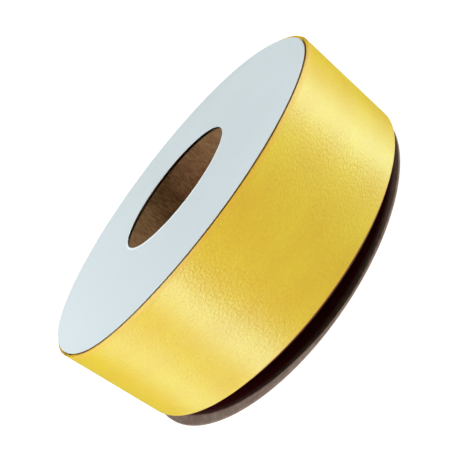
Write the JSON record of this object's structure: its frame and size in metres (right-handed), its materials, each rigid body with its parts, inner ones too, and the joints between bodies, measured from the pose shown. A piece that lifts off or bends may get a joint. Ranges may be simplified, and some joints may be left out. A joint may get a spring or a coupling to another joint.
{
  "type": "satin ribbon roll",
  "caption": "Roll of satin ribbon wound on a cardboard reel with end discs and an open bore for a spindle; the ribbon's free end lifts off the roll.",
  "frame": {"origin": "on the core's axis, at the back disc's outer face, which is the lowest plane of the roll lying flat", "axes": "+Z along the core's axis, towards the white front disc; the ribbon's free end lies in the +X +Y quarter"},
  "size_m": [0.1374, 0.1374, 0.0467],
  "materials": {
    "kraft_liner": "matt, fibrous kraft paper",
    "chipboard": "matt",
    "kraft_overwrap": "matt, fibrous kraft paper",
    "disc_board": "matt",
    "white_facing": "smooth white paper with a slight sheen",
    "back_board": "matt grey-brown board, dark maroon on its inner face",
    "glue": "dried amber glue",
    "paper_tape": "matt adhesive tape",
    "satin": "woven satin with a soft sheen",
    "tab_film": "clear adhesive film"
  },
  "bodies": {
    "reel": {"core_liner_ply": "kraft_liner", "core_wall": "chipboard", "core_overwrap_ply": "kraft_overwrap", "front_disc": "disc_board", "front_facing": "white_facing", "back_disc": "back_board", "front_glue_ring": "glue", "back_glue_ring": "glue", "ribbon_start_tape": "paper_tape", "ribbon_pack": "satin", "ribbon_outer_turn": "satin"},
    "free_end": {"ribbon_tail": "satin", "tail_tab": "tab_film"}
  },
  "joints": [
    {"name": "free_end_lift", "type": "hinge", "parent": "reel", "child": "free_end", "pos_m": [0.03246, 0.06106, 0.027], "axis": [0, 0, 1], "range_deg": [0, 60]}
  ]
}
